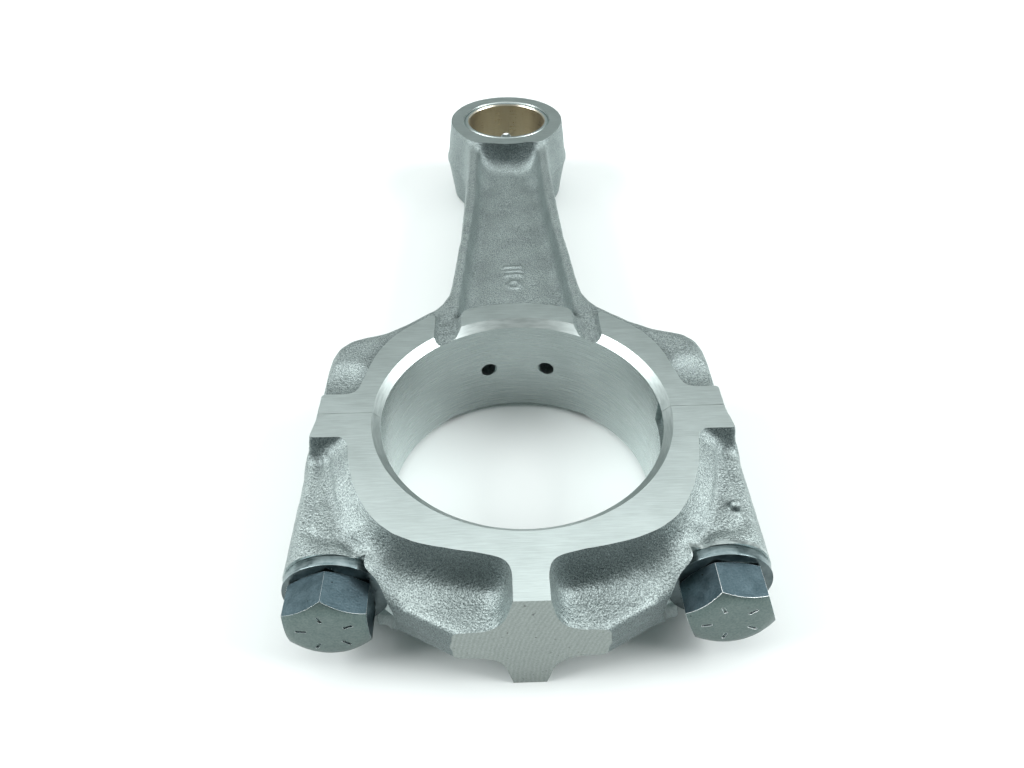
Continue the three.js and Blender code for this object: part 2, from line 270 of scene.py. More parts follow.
def forge(name, field, low, high, step, seed, extra):
    """Meshes a field that is the same on both sides of x = 0 and z = 0, with a rough skin.

    low and high are the corners of the quarter worked out, with x and z from 0. extra then
    changes the whole field, and may change one side only.
    """
    x, y, z = (np.arange(start, end + step, step, dtype=np.float32) for start, end in zip(low, high))
    values = field(x[:, None, None], y[None, :, None], z[None, None, :]).astype(np.float32)
    values = np.concatenate([values[:0:-1], values], 0)
    values = np.concatenate([values[:, :, :0:-1], values], 2)
    corner = np.array([-x[-1], y[0], -z[-1]])
    full = [corner[a] + step * np.arange(values.shape[a], dtype=np.float32) for a in range(3)]
    values = extra(values, full[0][:, None, None], full[1][None, :, None], full[2][None, None, :])
    values += 0.05 * lattice_noise(values.shape, step, 1.7, seed)
    values += 0.07 * lattice_noise(values.shape, step, 4.5, seed + 1)
    band = 3 * step
    grid = openvdb.FloatGrid(band)
    grid.copyFromArray(np.clip(values, -band, band))
    points, quads = grid.convertToQuads(isovalue=0.0)
    points = points * step + corner
    mesh = bpy.data.meshes.new(name)
    mesh.from_pydata(points.tolist(), [], quads.tolist())
    mesh.update()
    fix_direction(mesh)
    return mesh


def fix_direction(mesh):
    """Makes the faces of a closed body point outwards."""
    bm = bmesh.new()
    bm.from_mesh(mesh)
    if len(bm.faces) < 50000:
        bmesh.ops.recalc_face_normals(bm, faces=bm.faces)
    if bm.calc_volume(signed=True) < 0:
        bmesh.ops.reverse_faces(bm, faces=bm.faces)
    bm.to_mesh(mesh)
    bm.free()


# ---- cutters and turned shapes ---------------------------------------------------------
def mesh_from(name, points, faces, material=0):
    mesh = bpy.data.meshes.new(name)
    mesh.from_pydata([tuple(p) for p in points], [], faces)
    mesh.update()
    fix_direction(mesh)
    mesh.polygons.foreach_set("material_index", [material] * len(mesh.polygons))
    return mesh


def block(low, high, material=GROUND):
    """A box between two corners."""
    points = list(itertools.product(*zip(low, high)))
    faces = [(0, 1, 3, 2), (4, 6, 7, 5), (0, 4, 5, 1), (2, 3, 7, 6), (0, 2, 6, 4), (1, 5, 7, 3)]
    return mesh_from("block", points, faces, material)


def frame_for(axis):
    """An axis at unit length, and two directions at right angles to it."""
    axis = Vector(axis).normalized()
    side = axis.cross(Vector((0, 0, 1) if abs(axis.z) < 0.9 else (1, 0, 0))).normalized()
    return np.array(axis), np.array(side), np.array(axis.cross(side))


def turned(profile, centre, axis, segments, material=0, closed=False, materials=None):
    """Revolves [radius, distance] pairs about an axis. A closed profile makes a ring."""
    along, side, other = frame_for(axis)
    centre = np.array(centre, float)
    angles = 2 * math.pi * np.arange(segments) / segments
    spokes = np.cos(angles)[:, None] * side + np.sin(angles)[:, None] * other
    points, faces, face_materials = [], [], []
    rows = []
    for radius, distance in profile:
        if radius < 1e-9:
            rows.append([len(points)] * segments)
            points.append(centre + distance * along)
        else:
            rows.append(list(range(len(points), len(points) + segments)))
            points.extend(centre + distance * along + radius * spokes)
    spans = list(zip(range(len(rows)), range(1, len(rows))))
    if closed:
        spans.append((len(rows) - 1, 0))
    for index, (a, b) in enumerate(spans):
        for i in range(segments):
            j = (i + 1) % segments
            corners = [rows[a][i], rows[a][j], rows[b][j], rows[b][i]]
            corners = [c for n, c in enumerate(corners) if c not in corners[:n]]
            if len(corners) > 2:
                faces.append(corners)
                face_materials.append(materials[index] if materials else material)
    mesh = mesh_from("turned", points, faces, material)
    mesh.polygons.foreach_set("material_index", face_materials)
    return mesh


def drill(centre, axis, radius, low, high, segments=48, material=DRILLED):
    """A plain round bar from low to high along an axis through centre."""
    return turned([(0, low), (radius, low), (radius, high), (0, high)], centre, axis, segments, material)


def boolean(mesh, cutter, operation="DIFFERENCE"):
    """The mesh after a cutter is applied. Both use the material indices of STEEL."""
    for part in (mesh, cutter):
        if not part.materials:
            kinds = np.zeros(len(part.polygons), np.int32)
            part.polygons.foreach_get("material_index", kinds)
            for material in STEEL:
                part.materials.append(material)
            part.polygons.foreach_set("material_index", kinds)
    target = bpy.data.objects.new("target", mesh)
    tool = bpy.data.objects.new("tool", cutter)
    for o in (target, tool):
        bpy.context.scene.collection.objects.link(o)
    step = target.modifiers.new("cut", "BOOLEAN")
    step.operation, step.solver, step.object = operation, "MANIFOLD", tool
    step.material_mode = "INDEX"
    bpy.context.view_layer.update()
    evaluated = target.evaluated_get(bpy.context.evaluated_depsgraph_get())
    result = bpy.data.meshes.new_from_object(evaluated)
    for o in (target, tool):
        bpy.data.objects.remove(o)
    return result


def shade(mesh, degrees, flat=(), wide_skin=False):
    """Smooth faces, with hard edges where the surface turns sharply or the finish changes.

    flat lists the finishes that stay flat. With wide_skin, forged faces stay smooth up to 75
    degrees.
    """
    count = len(mesh.polygons)
    kinds = np.zeros(count, np.int32)
    mesh.polygons.foreach_get("material_index", kinds)
    mesh.polygons.foreach_set("use_smooth", ~np.isin(kinds, list(flat)))
    normals = np.zeros(count * 3, np.float32)
    mesh.polygons.foreach_get("normal", normals)
    normals = normals.reshape(-1, 3)
    sizes = np.zeros(count, np.int32)
    mesh.polygons.foreach_get("loop_total", sizes)
    edges = np.zeros(len(mesh.loops), np.int32)
    mesh.loops.foreach_get("edge_index", edges)
    owner = np.repeat(np.arange(count), sizes)
    order = np.argsort(edges, kind="stable")
    sorted_edges, sorted_owner = edges[order], owner[order]
    pair = np.flatnonzero(sorted_edges[1:] == sorted_edges[:-1])
    a, b = sorted_owner[pair], sorted_owner[pair + 1]
    limit = np.where((kinds[a] == FORGED) & (kinds[b] == FORGED) & wide_skin, 75, degrees)
    hard = (normals[a] * normals[b]).sum(1) < np.cos(np.radians(limit))
    hard |= kinds[a] != kinds[b]
    marks = np.zeros(len(mesh.edges), bool)
    marks[sorted_edges[pair[hard]]] = True
    sharp = mesh.attributes.get("sharp_edge") or mesh.attributes.new("sharp_edge", "BOOLEAN", "EDGE")
    sharp.data.foreach_set("value", marks)


def place(name, mesh, materials, body, node):
    """Moves a finished mesh from millimetres about the bore into the frame, in a node's stead."""
    mesh.name = name
    mesh.transform(Matrix.Translation(Vector(ORIGIN * MM)) @ Matrix.Scale(MM, 4))
    kinds = np.zeros(len(mesh.polygons), np.int32)
    mesh.polygons.foreach_get("material_index", kinds)
    mesh.materials.clear()
    for material in materials:
        mesh.materials.append(material)
    mesh.polygons.foreach_set("material_index", kinds)
    piece = bpy.data.objects.new(name, mesh)
    bpy.context.scene.collection.objects.link(piece)
    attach(piece, body)
    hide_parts(node)


# ---- camera, light and floor -----------------------------------------------------------
def add_camera():
    """Looks down on the big end from beyond the cap."""
    pitch, yaw, roll = math.radians(42.45), math.radians(1.28), math.radians(-0.44)
    from_bore_mm = np.array([-4.45, -111.71, 109.11 + HALF])
    level = math.cos(pitch)
    forward = Vector((math.sin(yaw) * level, math.cos(yaw) * level, -math.sin(pitch)))
    right = Vector((math.cos(yaw), -math.sin(yaw), 0))
    up = right.cross(forward)
    rolled_right = math.cos(roll) * right + math.sin(roll) * up
    rolled_up = -math.sin(roll) * right + math.cos(roll) * up
    rotation = Matrix((rolled_right, rolled_up, -forward)).transposed()
    data = bpy.data.cameras.new("camera")
    data.lens, data.sensor_width = 27.37, 36.0
    data.clip_start, data.clip_end = 0.01, 20
    camera = bpy.data.objects.new("camera", data)
    camera.matrix_world = Matrix.Translation(Vector((ORIGIN + from_bore_mm) * MM)) @ rotation.to_4x4()
    bpy.context.scene.collection.objects.link(camera)
    bpy.context.scene.camera = camera


def add_area_light(name, position, size, power):
    """A white rectangle of light that faces the part."""
    data = bpy.data.lights.new(name, "AREA")
    data.shape, data.size, data.size_y = "RECTANGLE", size[0], size[1]
    data.energy = power
    light = bpy.data.objects.new(name, data)
    light.location = position
    target = Vector((0, -0.02, 0.01))
    light.rotation_euler = (target - Vector(position)).to_track_quat("-Z", "Y").to_euler()
    bpy.context.scene.collection.objects.link(light)


def add_world(colour, strength):
    world = bpy.data.worlds.new("studio")
    world.use_nodes = True
    background = world.node_tree.nodes["Background"]
    background.inputs["Color"].default_value = (*colour, 1)
    background.inputs["Strength"].default_value = strength
    bpy.context.scene.world = world


def add_floor():
    """A pale floor just under the part, clear of the faces that rest on it."""
    half, gap = 3.0, 0.00005
    corners = [(-half, -half, 0), (half, -half, 0), (half, half, 0), (-half, half, 0)]
    mesh = bpy.data.meshes.new("floor")
    mesh.from_pydata(corners, [], [(0, 1, 2, 3)])
    material = bpy.data.materials.new("floor")
    material.use_nodes = True
    shader = material.node_tree.nodes["Principled BSDF"]
    shader.inputs["Base Color"].default_value = (0.75, 0.785, 0.78, 1)
    shader.inputs["Roughness"].default_value = 0.6
    mesh.materials.append(material)
    floor = bpy.data.objects.new("floor", mesh)
    floor.location.z = -gap
    bpy.context.scene.collection.objects.link(floor)


bpy.context.scene.view_settings.view_transform = "Standard"
add_camera()
add_world((0.87, 0.98, 0.955), 0.32)
add_area_light("overhead", (0.0, 0.15, 1.10), (1.5, 1.14), 7.9)
add_area_light("left", (-0.80, -0.14, 0.60), (0.55, 0.55), 9.5)
add_area_light("right", (0.80, -0.14, 0.60), (0.55, 0.55), 9.5)
add_floor()


# ---- finishes --------------------------------------------------------------------------
class Finish:
    """A metal surface built from noise on the piece's own coordinates."""

    def __init__(self, name):
        self.material = bpy.data.materials.new(name)
        self.material.use_nodes = True
        self.nodes, self.links = self.material.node_tree.nodes, self.material.node_tree.links
        self.shader = self.nodes["Principled BSDF"]
        self.shader.inputs["Metallic"].default_value = 1.0
        self.coordinates = self.nodes.new("ShaderNodeTexCoord").outputs["Object"]
        self.normal = None

    def mapping(self, stretch=(1, 1, 1), turn=(0, 0, 0), offset=(0, 0, 0)):
        node = self.nodes.new("ShaderNodeMapping")
        node.inputs["Scale"].default_value = stretch
        node.inputs["Rotation"].default_value = [math.radians(a) for a in turn]
        node.inputs["Location"].default_value = offset
        self.links.new(self.coordinates, node.inputs["Vector"])
        return node.outputs["Vector"]

    def noise(self, cell, stretch=(1, 1, 1), turn=(0, 0, 0), detail=2.0, roughness=0.5):
        """Noise with features about cell millimetres apart."""
        node = self.nodes.new("ShaderNodeTexNoise")
        node.inputs["Scale"].default_value = 1000 / cell
        node.inputs["Detail"].default_value = detail
        node.inputs["Roughness"].default_value = roughness
        self.links.new(self.mapping(stretch, turn), node.inputs["Vector"])
        return node.outputs["Fac"]

    def cells(self, size):
        """Distance from the middle of cells about size millimetres across."""
        node = self.nodes.new("ShaderNodeTexVoronoi")
        node.inputs["Scale"].default_value = 1000 / size
        self.links.new(self.mapping(), node.inputs["Vector"])
        return node.outputs["Distance"]

    def rings(self, pitch, centre, axis, distortion):
        """Tool marks as arcs about a line through a point in the frame, pitch millimetres apart."""
        wave_at_scale_1 = 2 * math.pi / 20  # the node's distance from one ring to the next
        node = self.nodes.new("ShaderNodeTexWave")
        node.wave_type, node.rings_direction = "RINGS", axis
        node.inputs["Scale"].default_value = wave_at_scale_1 / (pitch * MM)
        node.inputs["Distortion"].default_value = distortion
        node.inputs["Detail"].default_value = 2
        node.inputs["Detail Scale"].default_value = 1.5
        self.links.new(self.mapping(offset=[-c for c in centre]), node.inputs["Vector"])
        return node.outputs["Fac"]

    def crevices(self, reach_mm):
        """From 0 in deep corners to 1 in the open, by what stands within reach_mm."""
        node = self.nodes.new("ShaderNodeAmbientOcclusion")
        node.samples, node.only_local = 6, True
        node.inputs["Distance"].default_value = reach_mm * MM
        return self.spread(node.outputs["AO"], 0.5, 0.95)

    def facing(self, direction):
        """From 0 to 1 as the surface turns towards a direction of the frame."""
        node = self.nodes.new("ShaderNodeVectorMath")
        node.operation = "DOT_PRODUCT"
        self.links.new(self.nodes.new("ShaderNodeNewGeometry").outputs["Normal"], node.inputs[0])
        node.inputs[1].default_value = direction
        return self.spread(node.outputs["Value"], 0.25, 0.92)

    def spread(self, source, low, high, to_low=0.0, to_high=1.0):
        """Stretches the range low to high of a value over to_low to to_high, and clamps it."""
        node = self.nodes.new("ShaderNodeMapRange")
        node.inputs["From Min"].default_value, node.inputs["From Max"].default_value = low, high
        node.inputs["To Min"].default_value, node.inputs["To Max"].default_value = to_low, to_high
        self.links.new(source, node.inputs["Value"])
        return node.outputs["Result"]

    def combine(self, a, b, operation="ADD"):
        node = self.nodes.new("ShaderNodeMath")
        node.operation = operation
        for socket, value in zip(node.inputs, (a, b)):
            if isinstance(value, (int, float)):
                socket.default_value = value
            else:
                self.links.new(value, socket)
        return node.outputs["Value"]

    def blend(self, factor, a, b):
        """From colour a to colour b. Each may be a plain colour or a node's output."""
        node = self.nodes.new("ShaderNodeMix")
        node.data_type = "RGBA"
        self.links.new(factor, node.inputs["Factor"])
        colour_a, colour_b, colour_result = node.inputs[6], node.inputs[7], node.outputs[2]
        for socket, value in ((colour_a, a), (colour_b, b)):
            if isinstance(value, tuple):
                socket.default_value = (*value, 1)
            else:
                self.links.new(value, socket)
        return colour_result

    def bump(self, height, depth_mm):
        """Adds to the bumps made so far."""
        node = self.nodes.new("ShaderNodeBump")
        node.inputs["Distance"].default_value = depth_mm * MM
        node.inputs["Strength"].default_value = 1.0
        self.links.new(height, node.inputs["Height"])
        if self.normal is not None:
            self.links.new(self.normal, node.inputs["Normal"])
        self.normal = node.outputs["Normal"]

    def finish(self, colour, roughness):
        self.links.new(colour, self.shader.inputs["Base Color"])
        self.links.new(roughness, self.shader.inputs["Roughness"])
        if self.normal is not None:
            self.links.new(self.normal, self.shader.inputs["Normal"])
        return self.material


def forged_finish():
    """Shot-blasted skin: light and dark grains, with painted shade in the corners and on faces turned
    towards the cap's end.
    """
    f = Finish("forged_steel")
    grain = f.noise(0.25, roughness=0.65)
    pits = f.cells(0.5)
    blotch = f.noise(7.0, detail=3.0)
    f.bump(grain, 0.13)
    f.bump(pits, 0.09)
    speckle = f.spread(grain, 0.34, 0.66)
    light = f.blend(speckle, (0.17, 0.205, 0.205), (0.54, 0.62, 0.61))
    dark = f.blend(speckle, (0.14, 0.17, 0.17), (0.45, 0.52, 0.515))
    shadowed = f.blend(speckle, (0.07, 0.09, 0.092), (0.20, 0.24, 0.24))
    colour = f.blend(f.spread(blotch, 0.35, 0.65), dark, light)
    # Painted shade: corners and creases go near black where other surfaces stand within 3.2 mm.
    colour = f.blend(f.crevices(3.2), (0.05, 0.065, 0.068), colour)
    # Painted shade on the faces turned towards the cap's end and a little down.
    colour = f.blend(f.facing((0, -0.99, -0.12)), colour, shadowed)
    return f.finish(colour, f.spread(grain, 0.3, 0.7, 0.44, 0.58))


def lined_finish(name, dark, light, low_rough, high_rough, lines, depth, painted_front_shade=1.0):
    """A machined face: fine tool lines of the given (cell, stretch, turn), and faint patches.

    dark and light are its colours, low_rough and high_rough its roughness, and depth the lines'
    depth in millimetres. A front shade factor below 1 paints shade on what faces the cap's end of the
    frame.
    """
    f = Finish(name)
    total = None
    for cell, stretch, turn in lines:
        line = f.noise(cell, stretch, turn, detail=3.0, roughness=0.65)
        f.bump(line, depth)
        total = line if total is None else f.combine(total, line)
    total = f.combine(total, 1 / len(lines), "MULTIPLY")
    patches = f.noise(9.0, detail=2.0)
    value = f.combine(f.spread(total, 0.36, 0.64), f.spread(patches, 0.3, 0.7, -0.22, 0.22))
    colour = f.blend(value, dark, light)
    # Painted shade on the faces turned towards the cap's end.
    if painted_front_shade < 1:
        shadowed = [tuple(painted_front_shade * c for c in tone) for tone in (dark, light)]
        colour = f.blend(f.facing((0, -1, 0)), colour, f.blend(value, *shadowed))
    return f.finish(colour, f.spread(total, 0.35, 0.65, low_rough, high_rough))


def pad_finish():
    """Milled face with the arcs of a large cutter and a few pores."""
    f = Finish("milled_pad")
    cutter_centre = ORIGIN * MM + np.array([0.055, -0.0437, -0.012])
    arcs = f.rings(0.796, cutter_centre, "Y", 3.0)
    fine = f.noise(0.3)
    pores = f.noise(0.9, detail=1.0)
    f.bump(arcs, 0.006)
    f.bump(fine, 0.01)
    tone = f.combine(f.combine(arcs, 0.2, "MULTIPLY"), f.combine(fine, 0.9, "MULTIPLY"))
    colour = f.blend(f.spread(tone, 0.15, 0.95), (0.175, 0.20, 0.19), (0.33, 0.365, 0.35))
    colour = f.blend(f.spread(pores, 0.70, 0.76), colour, (0.12, 0.13, 0.13))
    return f.finish(colour, f.spread(tone, 0.2, 0.9, 0.33, 0.45))


def bolt_finish():
    """Dark blued steel, greyer on the end of the head, with a few specks."""
    f = Finish("oxide_steel")
    mottle = f.noise(2.2, detail=4.0, roughness=0.6)
    grain = f.noise(0.35)
    specks = f.noise(0.8, detail=1.5)
    f.bump(grain, 0.03)
    f.bump(mottle, 0.004)
    tone = f.combine(f.spread(mottle, 0.3, 0.7, 0, 0.4), f.spread(grain, 0.3, 0.7, 0, 0.6))
    blued = f.blend(tone, (0.09, 0.145, 0.17), (0.15, 0.215, 0.245))
    grey = f.blend(tone, (0.08, 0.115, 0.11), (0.15, 0.19, 0.18))
    colour = f.blend(f.facing((0, -1, 0)), blued, grey)
    colour = f.blend(f.spread(specks, 0.73, 0.78), colour, (0.03, 0.03, 0.03))
    return f.finish(colour, f.spread(mottle, 0.3, 0.7, 0.33, 0.42))


forged = forged_finish()
ground = lined_finish("ground_face", (0.48, 0.55, 0.54), (0.60, 0.68, 0.67), 0.32, 0.42, [
    (0.16, (0.04, 1, 1), (0, 0, -9)), (0.24, (0.06, 1, 1), (0, 0, 24))], 0.003)
# The bore wall gets painted shade, 0.60 as bright, where it faces the cap's end.
bored = lined_finish("bored_wall", (0.52, 0.59, 0.58), (0.64, 0.71, 0.70), 0.22, 0.30, [
    (0.16, (0.02, 0.02, 1), (0, 0, 0)), (0.3, (0.05, 0.05, 1), (0, 0, 0))], 0.0012, 0.60)
milled = pad_finish()
drilled = lined_finish("drilled_wall", (0.31, 0.36, 0.36), (0.54, 0.61, 0.60), 0.28, 0.42, [
    (0.4, (0.1, 1, 1), (0, 0, 30)), (0.5, (1, 1, 0.1), (20, 0, 0))], 0.006)
oxide = bolt_finish()
# Painted highlight on top of wear, for the softened edges of the bolt heads and dowels.
worn_highlight = lined_finish("worn_edge_painted_highlight", (0.80, 0.86, 0.87), (0.96, 0.99, 0.99), 0.34, 0.45, [
    (0.8, (1, 1, 1), (0, 0, 0))], 0.01)
# Washers get painted shade, 0.45 as bright, on the faces turned towards the cap's end.
washer_steel = lined_finish("washer_steel", (0.13, 0.18, 0.19), (0.31, 0.38, 0.39), 0.25, 0.42, [
    (0.35, (0.1, 1, 0.1), (0, 0, 0)), (2.0, (1, 1, 1), (0, 0, 0))], 0.006, 0.45)
# The bronze gets painted shade, half as bright, where it faces the cap's end.
bronze = lined_finish("bronze", (0.86, 0.80, 0.66), (0.98, 0.93, 0.78), 0.26, 0.34, [
    (0.20, (0.03, 0.03, 1), (0, 0, 0)), (2.5, (1, 1, 0.2), (0, 0, 0))], 0.002, 0.5)
# The chamfers get painted shade, half as bright, where they face the cap's end.
chamfered = lined_finish("chamfer", (0.50, 0.57, 0.56), (0.62, 0.69, 0.68), 0.42, 0.48, [
    (0.3, (0.1, 0.1, 1), (0, 0, 0))], 0.002, 0.5)
STEEL = [forged, ground, bored, milled, drilled, chamfered]  # in the order of FORGED to CHAMFER


# ---- details cut into the forgings -----------------------------------------------------
def big_end_bore():
    """Bore and chamfers in one cutter, which runs past both side faces."""
    past = HALF + 1
    mouth = BIG_BORE_R + BORE_CHAMFER + 1
    return turned(
        [(0, -past), (mouth, -past), (BIG_BORE_R, -HALF + BORE_CHAMFER),
         (BIG_BORE_R, HALF - BORE_CHAMFER), (mouth, past), (0, past)],
        (0, 0, 0), (0, 0, 1), 192, materials=[BORE, CHAMFER, BORE, CHAMFER, BORE])


def thread(low, high, minor, major, pitch, taper_low=0.0, taper_high=0.0, segments=40, rows=8):
    """A closed threaded bar along y. The tapers are the lengths of its pointed ends."""
    count = int((high - low) / pitch * rows)
    y = np.linspace(low, high, count)[:, None]
    turn = (np.arange(segments) / segments)[None, :]
    phase = (y / pitch - turn) % 1
    crest = np.clip(1.25 - 3 * np.abs(phase - 0.5), 0, 1)
    radius = minor + (major - minor) * crest
    if taper_low:
        radius = np.minimum(radius, minor - 0.5 + (y - low) / taper_low * (major - minor + 0.5))
    if taper_high:
        radius = np.minimum(radius, minor - 0.5 + (high - y) / taper_high * (major - minor + 0.5))
    radius = np.broadcast_to(radius, (count, segments))
    angle = 2 * math.pi * turn
    points = np.stack([radius * np.cos(angle), np.broadcast_to(y, radius.shape), radius * np.sin(angle)], 2)
    points = points.reshape(-1, 3).tolist()
    faces = [(r * segments + c, r * segments + (c + 1) % segments,
              (r + 1) * segments + (c + 1) % segments, (r + 1) * segments + c)
             for r in range(count - 1) for c in range(segments)]
    faces += [tuple(range(segments)), tuple(range((count - 1) * segments, count * segments))]
    return mesh_from("thread", points, faces, DRILLED)


def at_bolt(mesh, side):
    mesh.transform(Matrix.Translation((side * BOLT_X, 0, 0)))
    return mesh


def tapped_hole(side):
    """Threads a little deeper and wider than the bolt's."""
    return at_bolt(thread(-1, 21, 5.02, 5.5, THREAD_PITCH, taper_high=1.5), side)


def bolt_hole(side, radius, low, high, segments):
    return drill((side * BOLT_X, 0, 0), (0, 1, 0), radius, low, high, segments)


def dowel_seat(side, clearance):
    """The counterbore at the parting face, with clearance on the dowel's radius."""
    return bolt_hole(side, DOWEL_R + clearance, -DOWEL_SEAT_DEPTH, DOWEL_SEAT_DEPTH, 64)


def tang_slot(side, way):
    """Slot for a bearing shell's tang, milled by a disc. way is 1 in the rod and -1 in the cap."""
    low, high = 6.4, 11.8
    slot = drill((side * 20.7, way * 1.0, 0), (0, 0, 1), 9.0, low, high, 64)
    start, end = (-0.5, 3.2) if way > 0 else (-6.6, 0.5)
    keep = block((-60, start, low - 1), (60, end, high + 1), DRILLED)
    return boolean(slot, keep, "INTERSECT")


def oil_hole(side):
    """From the bore out through the root of a flange."""
    start, tilt = math.radians(14), math.radians(27)  # from +y, at the bore and along the hole
    centre = (side * BIG_BORE_R * math.sin(start), BIG_BORE_R * math.cos(start), 0)
    hole = [(0, -4), (3.9, -4), (OIL_HOLE_R, -0.1), (OIL_HOLE_R, 60), (0, 60)]
    return turned(hole, centre, (side * math.sin(tilt), math.cos(tilt), 0), 32, DRILLED)


def spot_face_side(side, way):
    """The spot face is wider above and below the web. way is 1 above."""
    wide = bolt_hole(side, SPOT_FACE_WIDE_R, -60, SEAT_Y, 96)
    low, high = (4.6, 15) if way > 0 else (-15, -4.6)
    return boolean(wide, block((-60, -61, low), (60, 0, high), DRILLED), "INTERSECT")


def spot_face_mouth(side):
    """Opens the spot face outwards where it runs into the web."""
    flare = [(0, SEAT_Y - 2.2), (SPOT_FACE_R, SEAT_Y - 2.2), (SPOT_FACE_WIDE_R, SEAT_Y - 3.6),
             (SPOT_FACE_WIDE_R, -60), (0, -60)]
    mouth = turned(flare, (side * BOLT_X, 0, 0), (0, 1, 0), 96, DRILLED)
    return boolean(mouth, block((-60, -61, -9), (60, 0, 5.2), DRILLED), "INTERSECT")


def beside_seat(side):
    """Clears everything outboard of the seat."""
    inner, outer = sorted((side * 34, side * 52))
    return block((inner, -60, -15), (outer, SEAT_Y, 15), DRILLED)


def carve(mesh, cutters):
    """Takes each cutter away in turn."""
    for cutter in cutters:
        mesh = boolean(mesh, cutter)
    return mesh


def add_marks(values, x, y, z):
    """Generic raised marks on the web: three bars and a ring, no letters."""
    mark = np.abs(np.hypot(x, y - 56.0) - 1.5) - 0.42
    for bar_y in (60.4, 62.3, 64.2):
        mark = np.minimum(mark, np.maximum(np.abs(x) - 2.3, np.abs(y - bar_y) - 0.42))
    mark = np.maximum(mark, np.abs(z) - 4.7)
    return soft_min(values, mark.astype(np.float32), 0.4)


def add_pip(values, x, y, z):
    """Gate pip in a small dimple, on one lug only."""
    dimple = np.sqrt((x - 37.8) ** 2 + (y + 21.0) ** 2 + (z - 12.7) ** 2) - 3.3
    pip = np.sqrt((x - 38.3) ** 2 + (y + 22.6) ** 2 + (z - 9.8) ** 2) - 1.15
    return soft_min(soft_max(values, -dimple, 1.0), pip.astype(np.float32), 0.5)


def build_rod():
    mesh = forge("rod_body", rod_field, (0, -1.5, 0), (46, CENTRES + 21.5, 15), 0.55, 11, add_marks)
    far = CENTRES + 30
    waist = CENTRES - 60
    bush_mouth = [(0, -20), (BUSH_OUTER_R + 7.8, -20), (BUSH_OUTER_R, -SMALL_HALF + 0.3),
                  (BUSH_OUTER_R, SMALL_HALF - 0.3), (BUSH_OUTER_R + 7.8, 20), (0, 20)]
    mesh = carve(mesh, [
        block((-50, -10, HALF), (50, waist, 20)), block((-50, -10, -20), (50, waist, -HALF)),
        block((-50, waist + 10, SMALL_HALF), (50, far, 20)),
        block((-50, waist + 10, -20), (50, far, -SMALL_HALF)),
        block((-50, -10, -19), (50, 0.04, 19)),
        big_end_bore(),
        turned(bush_mouth, (0, CENTRES, 0), (0, 0, 1), 128, BORE),
        drill((0, CENTRES, 0), (0, 1, 0), PIN_OIL_HOLE_R, 10, 30),
        *[tapped_hole(side) for side in SIDES],
        *[dowel_seat(side, 0.04) for side in SIDES],
        *[oil_hole(side) for side in SIDES],
        tang_slot(1, 1),
    ])
    return mesh


def add_burr(mesh):
    """Turns the skin along the seat edge of one lug into bright rolled metal."""
    centre = np.zeros(len(mesh.polygons) * 3, np.float32)
    mesh.polygons.foreach_get("center", centre)
    x, y, z = centre.reshape(-1, 3).T
    kinds = np.zeros(len(mesh.polygons), np.int32)
    mesh.polygons.foreach_get("material_index", kinds)
    ragged = 0.95 + 0.35 * np.sin(x * 3.1) * np.sin(z * 2.3 + x)
    burr = (kinds == FORGED) & (x > BOLT_X - 7) & (y < SEAT_Y + ragged) & (z > 0)
    mesh.polygons.foreach_set("material_index", np.where(burr, DRILLED, kinds).astype(np.int32))
    return mesh


def build_cap():
    mesh = forge("cap_body", cap_field, (0, -46.5, 0), (47, 1.5, 15), 0.5, 21, add_pip)
    return add_burr(carve(mesh, [
        block((-50, -60, HALF), (50, 10, 20)), block((-50, -60, -20), (50, 10, -HALF)),
        block((-50, -0.04, -19), (50, 10, 19)),
        block((-50, -60, -21), (50, PAD_Y, 21), MILLED),
        big_end_bore(),
        *[bolt_hole(side, SPOT_FACE_R, -60, SEAT_Y, 96) for side in SIDES],
        *[spot_face_side(side, way) for side in SIDES for way in SIDES],
        *[beside_seat(side) for side in SIDES],
        *[spot_face_mouth(side) for side in SIDES],
        *[bolt_hole(side, CLEARANCE_R, -50, 5, 48) for side in SIDES],
        *[dowel_seat(side, 0.08) for side in SIDES],
        tang_slot(1, -1),
    ]))


# ---- small parts -----------------------------------------------------------------------
def soften(mesh, width, degrees=20, material=WORN_HIGHLIGHT):
    """Rounds the hard edges of a small part and gives them the edge finish, wear with a painted highlight.
    """
    bm = bmesh.new()
    bm.from_mesh(mesh)
    edges = [e for e in bm.edges
             if len(e.link_faces) == 2 and e.calc_face_angle(0) > math.radians(degrees)]
    bmesh.ops.bevel(bm, geom=edges, offset=width, offset_type="OFFSET", segments=2, profile=0.6,
                    affect="EDGES", clamp_overlap=True, material=material)
    bm.to_mesh(mesh)
    bm.free()
    return mesh


def hex_head(turn, dash_turn):
    """Head with chamfered corners and five plain dashes cut in its end."""
    end, bearing = HEAD_END_Y, HEAD_BEARING_Y
    corner = HEAD_FLAT / math.cos(math.pi / 6)
    angles = [math.radians(turn + 60 * i) for i in range(6)]
    points = [(corner * math.sin(a), y, corner * math.cos(a)) for y in (end, bearing) for a in angles]
    flats = [(i, (i + 1) % 6, (i + 1) % 6 + 6, i + 6) for i in range(6)]
    head = mesh_from("head", points, [tuple(range(6)), tuple(range(6, 12))] + flats)
    cone = [(0, end), (5.7, end), (6.7, end + 0.12), (9.6, end + 1.8), (9.6, bearing - 0.9),
            (7.3, bearing), (0, bearing)]
    head = boolean(head, turned(cone, (0, 0, 0), (0, 1, 0), 96), "INTERSECT")
    for i in range(5):
        dash = block((3.5, end - 1, -0.28), (5.3, end + 0.25, 0.28), 0)
        dash.transform(Matrix.Rotation(math.radians(72 * i + dash_turn), 4, "Y"))
        head = boolean(head, dash)
    return soften(head, 0.42, 33)


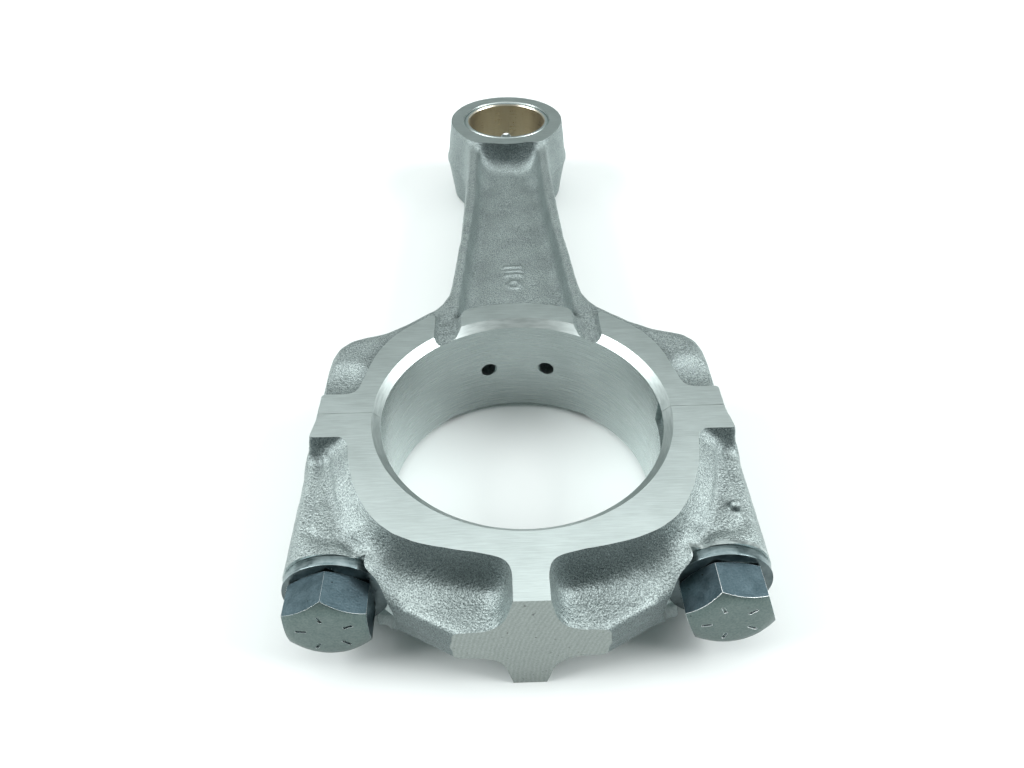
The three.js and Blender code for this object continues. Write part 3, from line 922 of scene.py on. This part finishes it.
def build_bolt(side, turn):
    """Head, plain shank and thread in one solid. turn is the head's own, in degrees."""
    thread_start = HEAD_BEARING_Y + 27.0
    shank = [(0, HEAD_BEARING_Y - 2), (SHANK_R, HEAD_BEARING_Y - 2), (SHANK_R, thread_start - 1),
             (4.35, thread_start), (4.35, thread_start + 0.6), (0, thread_start + 0.6)]
    screw = thread(thread_start, BOLT_TIP, 4.3, SHANK_R, THREAD_PITCH, taper_high=1.2, taper_low=0.6)
    screw.polygons.foreach_set("material_index", [0] * len(screw.polygons))
    body = boolean(hex_head(-side * turn, 26 * side), turned(shank, (0, 0, 0), (0, 1, 0), 64), "UNION")
    return at_bolt(boolean(body, screw, "UNION"), side)


def build_washer(side):
    """A plain ring on the seat, a little off the bolt's axis towards the bore."""
    back, front = SEAT_Y - 0.05, SEAT_Y - 2.07
    section = [(WASHER_BORE_R, back), (WASHER_R, back), (WASHER_R, front), (WASHER_BORE_R, front)]
    ring = turned(section, (0, 0, 0), (0, 1, 0), 96, closed=True)
    ring.transform(Matrix.Translation((-0.5 * side, 0, 0)))
    return at_bolt(soften(ring, 0.14, material=0), side)


def build_dowel(side):
    """A short tube across the parting face."""
    section = [(CLEARANCE_R, -DOWEL_HALF), (DOWEL_R, -DOWEL_HALF), (DOWEL_R, DOWEL_HALF),
               (CLEARANCE_R, DOWEL_HALF)]
    tube = turned(section, (0, 0, 0), (0, 1, 0), 64, closed=True)
    return at_bolt(soften(tube, 0.15), side)


def build_bush():
    """Steel-backed bush: bronze bore and steel ends."""
    outer, inner, half = BUSH_OUTER_R - 0.02, BUSH_BORE_R, BUSH_HALF
    profile = [(outer, half - 0.5), (outer - 0.5, half), (inner + 0.3, half), (inner, half - 0.4),
               (inner, -half + 0.4), (inner + 0.3, -half), (outer - 0.5, -half), (outer, -half + 0.5)]
    bronze_rows = (2, 3, 4)
    finishes = [0 if row in bronze_rows else 1 for row in range(len(profile))]
    mesh = turned(profile, (0, CENTRES, 0), (0, 0, 1), 128, closed=True, materials=finishes)
    return boolean(mesh, drill((0, CENTRES, 0), (0, 1, 0), PIN_OIL_HOLE_R, 10, 16, material=0))


def finish_piece(name, mesh, materials, body, node, flat=()):
    shade(mesh, 28, flat, wide_skin=materials is STEEL)
    place(name, mesh, materials, body, node)


finish_piece("rod_body", build_rod(), STEEL, "rod", "rod", (GROUND, MILLED))
finish_piece("cap_body", build_cap(), STEEL, "cap", "cap", (GROUND, MILLED))
finish_piece("small_end_bush_body", build_bush(), [bronze, ground], "rod", "small_end_bush")
for word, side, head_turn in (("left", -1, 0), ("right", 1, 20)):
    finish_piece(f"bolt_{word}_body", build_bolt(side, head_turn), [oxide, worn_highlight],
                 f"bolt_{word}", f"bolt_{word}")
    finish_piece(f"washer_{word}_body", build_washer(side), [washer_steel, worn_highlight],
                 f"washer_{word}", f"washer_{word}")
    finish_piece(f"dowel_{word}_body", build_dowel(side), [ground, worn_highlight],
                 "rod", f"dowel_{word}")
